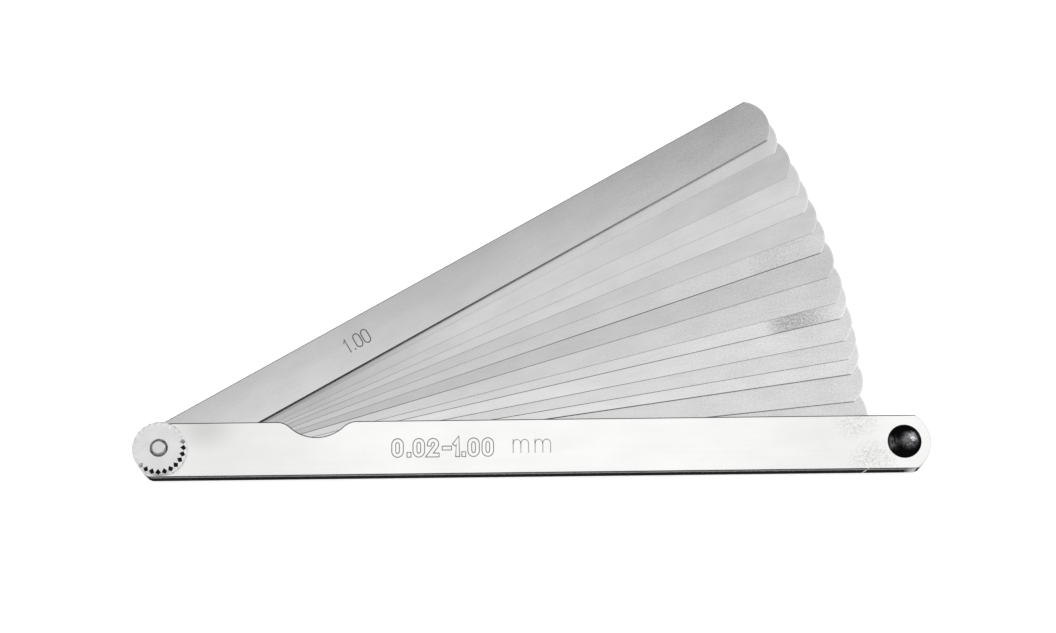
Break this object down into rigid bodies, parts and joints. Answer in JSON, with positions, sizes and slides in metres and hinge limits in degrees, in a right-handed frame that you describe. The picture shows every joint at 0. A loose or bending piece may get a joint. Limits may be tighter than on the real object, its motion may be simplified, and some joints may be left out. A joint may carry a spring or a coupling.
{
  "type": "feeler gauge",
  "caption": "Feeler gauge: a fan of long straight steel leaves of graded thickness on one pivot screw, folding into a channel case with a knurled thumb nut.",
  "frame": {"origin": "on the pivot axis, at the flat face of the pivot screw's head, which is the surface the gauge lies on", "axes": "+X along the case from the pivot to the free end, +Y towards the open side that the leaves swing out of, +Z along the pivot axis towards the thumb nut"},
  "size_m": [0.2172, 0.1067, 0.0108],
  "materials": {
    "nickel_case": "bright nickel plate on folded sheet steel",
    "leaf_steel": "satin rolled spring steel, grain along the leaf",
    "nut_steel": "satin turned face, notches dark with oil",
    "screw_steel": "bright turned steel",
    "sleeve_steel": "plain turned steel",
    "black_oxide": "glossy black oxide, slightly dimpled"
  },
  "bodies": {
    "case": {"case": "nickel_case", "pivot_screw": "screw_steel", "end_rivet": "black_oxide", "spacer_sleeve": "sleeve_steel"},
    "blade_0_75": {"blade_0_75mm": "leaf_steel"},
    "blade_0_50": {"blade_0_50mm": "leaf_steel"},
    "blade_0_40": {"blade_0_40mm": "leaf_steel"},
    "blade_0_30": {"blade_0_30mm": "leaf_steel"},
    "blade_0_25": {"blade_0_25mm": "leaf_steel"},
    "blade_0_20": {"blade_0_20mm": "leaf_steel"},
    "blade_0_15": {"blade_0_15mm": "leaf_steel"},
    "blade_0_10": {"blade_0_10mm": "leaf_steel"},
    "blade_0_09": {"blade_0_09mm": "leaf_steel"},
    "blade_0_08": {"blade_0_08mm": "leaf_steel"},
    "blade_0_07": {"blade_0_07mm": "leaf_steel"},
    "blade_0_06": {"blade_0_06mm": "leaf_steel"},
    "blade_0_05": {"blade_0_05mm": "leaf_steel"},
    "blade_0_04": {"blade_0_04mm": "leaf_steel"},
    "blade_0_03": {"blade_0_03mm": "leaf_steel"},
    "blade_0_02": {"blade_0_02mm": "leaf_steel"},
    "blade_1_00": {"blade_1_00mm": "leaf_steel"},
    "thumb_nut": {"thumb_nut": "nut_steel"}
  },
  "joints": [
    {"name": "blade_0_75_swing", "type": "hinge", "parent": "case", "child": "blade_0_75", "pos_m": [0, 0, 0.00269], "axis": [0, 0, 1], "range_deg": [0, 180]},
    {"name": "blade_0_50_swing", "type": "hinge", "parent": "case", "child": "blade_0_50", "pos_m": [0, 0, 0.00334], "axis": [0, 0, 1], "range_deg": [0, 180]},
    {"name": "blade_0_40_swing", "type": "hinge", "parent": "case", "child": "blade_0_40", "pos_m": [0, 0, 0.00381], "axis": [0, 0, 1], "range_deg": [-2.7, 177.3]},
    {"name": "blade_0_30_swing", "type": "hinge", "parent": "case", "child": "blade_0_30", "pos_m": [0, 0, 0.00418], "axis": [0, 0, 1], "range_deg": [-5.6, 174.4]},
    {"name": "blade_0_25_swing", "type": "hinge", "parent": "case", "child": "blade_0_25", "pos_m": [0, 0, 0.00447], "axis": [0, 0, 1], "range_deg": [-7.9, 172.1]},
    {"name": "blade_0_20_swing", "type": "hinge", "parent": "case", "child": "blade_0_20", "pos_m": [0, 0, 0.00472], "axis": [0, 0, 1], "range_deg": [-9.2, 170.8]},
    {"name": "blade_0_15_swing", "type": "hinge", "parent": "case", "child": "blade_0_15", "pos_m": [0, 0, 0.00492], "axis": [0, 0, 1], "range_deg": [-10.8, 169.2]},
    {"name": "blade_0_10_swing", "type": "hinge", "parent": "case", "child": "blade_0_10", "pos_m": [0, 0, 0.00506], "axis": [0, 0, 1], "range_deg": [-12.7, 167.3]},
    {"name": "blade_0_09_swing", "type": "hinge", "parent": "case", "child": "blade_0_09", "pos_m": [0, 0, 0.00517], "axis": [0, 0, 1], "range_deg": [-14.1, 165.9]},
    {"name": "blade_0_08_swing", "type": "hinge", "parent": "case", "child": "blade_0_08", "pos_m": [0, 0, 0.00528], "axis": [0, 0, 1], "range_deg": [-16.4, 163.6]},
    {"name": "blade_0_07_swing", "type": "hinge", "parent": "case", "child": "blade_0_07", "pos_m": [0, 0, 0.00537], "axis": [0, 0, 1], "range_deg": [-18.6, 161.4]},
    {"name": "blade_0_06_swing", "type": "hinge", "parent": "case", "child": "blade_0_06", "pos_m": [0, 0, 0.00546], "axis": [0, 0, 1], "range_deg": [-20.5, 159.5]},
    {"name": "blade_0_05_swing", "type": "hinge", "parent": "case", "child": "blade_0_05", "pos_m": [0, 0, 0.00553], "axis": [0, 0, 1], "range_deg": [-22.4, 157.6]},
    {"name": "blade_0_04_swing", "type": "hinge", "parent": "case", "child": "blade_0_04", "pos_m": [0, 0, 0.0056], "axis": [0, 0, 1], "range_deg": [-24, 156]},
    {"name": "blade_0_03_swing", "type": "hinge", "parent": "case", "child": "blade_0_03", "pos_m": [0, 0, 0.00566], "axis": [0, 0, 1], "range_deg": [-25.8, 154.2]},
    {"name": "blade_0_02_swing", "type": "hinge", "parent": "case", "child": "blade_0_02", "pos_m": [0, 0, 0.0057], "axis": [0, 0, 1], "range_deg": [-28.2, 151.8]},
    {"name": "blade_1_00_swing", "type": "hinge", "parent": "case", "child": "blade_1_00", "pos_m": [0, 0, 0.00623], "axis": [0, 0, 1], "range_deg": [-29.5, 150.5]},
    {"name": "thumb_nut_turn", "type": "hinge", "parent": "case", "child": "thumb_nut", "pos_m": [0, 0, 0.00882], "axis": [0, 0, 1], "range_deg": [0, 180]}
  ]
}
